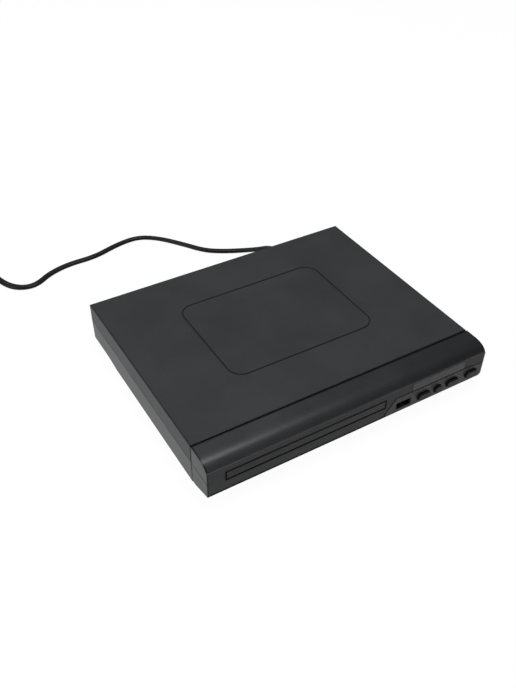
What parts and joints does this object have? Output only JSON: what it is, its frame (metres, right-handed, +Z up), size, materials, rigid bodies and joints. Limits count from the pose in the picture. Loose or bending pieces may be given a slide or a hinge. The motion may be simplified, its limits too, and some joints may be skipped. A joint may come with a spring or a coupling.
{
  "type": "disc player with tray",
  "caption": "Low black disc player whose motorised tray slides out of the front, with push buttons, a data port, rear sockets and a coiled mains cord.",
  "frame": {"origin": "on the surface that the player stands on, under the middle of the player's box without the free cord", "axes": "+X to the right as seen from the front, +Y to the rear, +Z up"},
  "size_m": [0.3653, 0.4037, 0.037],
  "materials": {
    "aluminium": "extruded aluminium",
    "bezel_plastic": "satin black plastic",
    "black_parts": "black moulded parts",
    "board": "green circuit board",
    "brass": "plain brass",
    "button_plastic": "satin black plastic",
    "cable_grey": "pale flat cable",
    "cord_vinyl": "soft black vinyl",
    "cover_plastic": "fine matt black moulded plastic",
    "frame_plastic": "matt plastic",
    "gear_plastic": "natural acetal",
    "jack_plastic": "black socket block",
    "lens_glass": "coated lens",
    "motor_steel": "plated steel",
    "rubber": "soft black rubber",
    "steel": "bright steel",
    "tray_plastic": "matt black plastic",
    "tub_plastic": "fine matt black moulded plastic",
    "winding": "taped winding",
    "window": "smoked glossy plastic"
  },
  "bodies": {
    "player": {"board_screws": "steel", "capacitors": "black_parts", "case_screws": "steel", "clamp_bridge": "steel", "coaxial_jack": "jack_plastic", "cord_coil": "cord_vinyl", "cord_tail": "cord_vinyl", "cord_tie": "black_parts", "display_module": "black_parts", "display_window": "window", "drive_belt": "rubber", "foot_front_left": "rubber", "foot_front_right": "rubber", "foot_rear_left": "rubber", "foot_rear_right": "rubber", "front_bezel_lower": "bezel_plastic", "front_bezel_upper": "bezel_plastic", "front_board": "board", "front_cable": "cable_grey", "hdmi_socket": "steel", "heat_sink": "aluminium", "left_audio_jack": "jack_plastic", "loader_frame": "frame_plastic", "loader_screws": "steel", "lower_case": "tub_plastic", "main_board": "board", "plug_body": "cord_vinyl", "plug_pins": "brass", "power_board": "board", "power_cord": "cord_vinyl", "rear_panel": "tub_plastic", "right_audio_jack": "jack_plastic", "strain_relief": "rubber", "tact_switches": "black_parts", "transformer": "winding", "tray_motor": "motor_steel", "upper_case": "cover_plastic", "usb_insert": "black_parts", "usb_shell": "steel", "video_jack": "jack_plastic"},
    "tray": {"tray_door": "bezel_plastic", "disc_tray": "tray_plastic"},
    "drive_gear": {"tray_drive_gear": "gear_plastic"},
    "idler": {"pulley_gear": "gear_plastic"},
    "belt_pulley": {"motor_pulley": "gear_plastic"},
    "cam": {"cam_slider": "gear_plastic"},
    "traverse": {"traverse_frame": "frame_plastic", "spindle_motor": "motor_steel", "guide_rods": "steel", "sled_motor": "motor_steel"},
    "spindle": {"turntable": "black_parts"},
    "pickup": {"optical_pickup": "black_parts", "pickup_lens": "lens_glass"},
    "feed_gear": {"sled_gear": "gear_plastic"},
    "feed_pinion": {"sled_motor_pinion": "gear_plastic"},
    "clamp": {"clamp_puck": "frame_plastic"},
    "button_open_close_cap": {"button_open_close": "button_plastic"},
    "button_play_cap": {"button_play": "button_plastic"},
    "button_stop_cap": {"button_stop": "button_plastic"},
    "button_power_cap": {"button_power": "button_plastic"}
  },
  "joints": [
    {"name": "tray_slide", "type": "slide", "parent": "player", "child": "tray", "axis": [0, -1, 0], "range_m": [0, 0.129]},
    {"name": "drive_gear_turn", "type": "hinge", "parent": "player", "child": "drive_gear", "pos_m": [0.008, -0.08275, 0.0172], "axis": [0, 0, 1], "range_deg": [-753.9, 0]},
    {"name": "idler_turn", "type": "hinge", "parent": "player", "child": "idler", "pos_m": [-0.0112, -0.08275, 0.0172], "axis": [0, 0, 1], "range_deg": [0, 2261.69]},
    {"name": "motor_pulley_turn", "type": "hinge", "parent": "player", "child": "belt_pulley", "pos_m": [-0.042, -0.07575, 0.0192], "axis": [0, 0, 1], "range_deg": [0, 4621.72]},
    {"name": "traverse_lift", "type": "hinge", "parent": "player", "child": "traverse", "pos_m": [0, 0.04625, 0.0156], "axis": [-1, 0, 0], "range_deg": [0, 3.7]},
    {"name": "cam_slide", "type": "slide", "parent": "player", "child": "cam", "axis": [-1, 0, 0], "range_m": [-0.001, 0.017]},
    {"name": "disc_spin", "type": "hinge", "parent": "traverse", "child": "spindle", "pos_m": [-0.04, -0.03594, 0.0159], "axis": [0, -0.0645, 0.9979], "continuous": true},
    {"name": "clamp_spin", "type": "hinge", "parent": "player", "child": "clamp", "pos_m": [-0.04, -0.03575, 0.0272], "axis": [0, 0, 1], "continuous": true},
    {"name": "pickup_slide", "type": "slide", "parent": "traverse", "child": "pickup", "axis": [0, 0.9979, 0.0645], "range_m": [0, 0.034]},
    {"name": "feed_gear_turn", "type": "hinge", "parent": "traverse", "child": "feed_gear", "pos_m": [-0.0082, 0.0015, 0.0103], "axis": [0, -0.0645, 0.9979], "range_deg": [-413.96, 0]},
    {"name": "feed_pinion_turn", "type": "hinge", "parent": "traverse", "child": "feed_pinion", "pos_m": [0.00222, -0.0071, 0.00774], "axis": [0, -0.0645, 0.9979], "range_deg": [0, 993.51]},
    {"name": "open_close_press", "type": "slide", "parent": "player", "child": "button_open_close_cap", "axis": [0, 1, 0], "range_m": [0, 0.0007], "stiffness_N_per_m": 400, "springref_m": -0.0004},
    {"name": "play_press", "type": "slide", "parent": "player", "child": "button_play_cap", "axis": [0, 1, 0], "range_m": [0, 0.0007], "stiffness_N_per_m": 400, "springref_m": -0.0004},
    {"name": "stop_press", "type": "slide", "parent": "player", "child": "button_stop_cap", "axis": [0, 1, 0], "range_m": [0, 0.0007], "stiffness_N_per_m": 400, "springref_m": -0.0004},
    {"name": "power_press", "type": "slide", "parent": "player", "child": "button_power_cap", "axis": [0, 1, 0], "range_m": [0, 0.0007], "stiffness_N_per_m": 400, "springref_m": -0.0004}
  ],
  "couplings": [
    {"joint": "drive_gear_turn", "follows": "tray_slide", "rad_per_m": -100},
    {"joint": "idler_turn", "follows": "tray_slide", "rad_per_m": 300},
    {"joint": "motor_pulley_turn", "follows": "tray_slide", "rad_per_m": 613.04},
    {"joint": "cam_slide", "follows": "traverse_lift", "m_per_rad": 0.24777},
    {"joint": "clamp_spin", "follows": "disc_spin", "ratio": 1},
    {"joint": "feed_gear_turn", "follows": "pickup_slide", "rad_per_m": -208.33},
    {"joint": "feed_pinion_turn", "follows": "pickup_slide", "rad_per_m": 500}
  ]
}
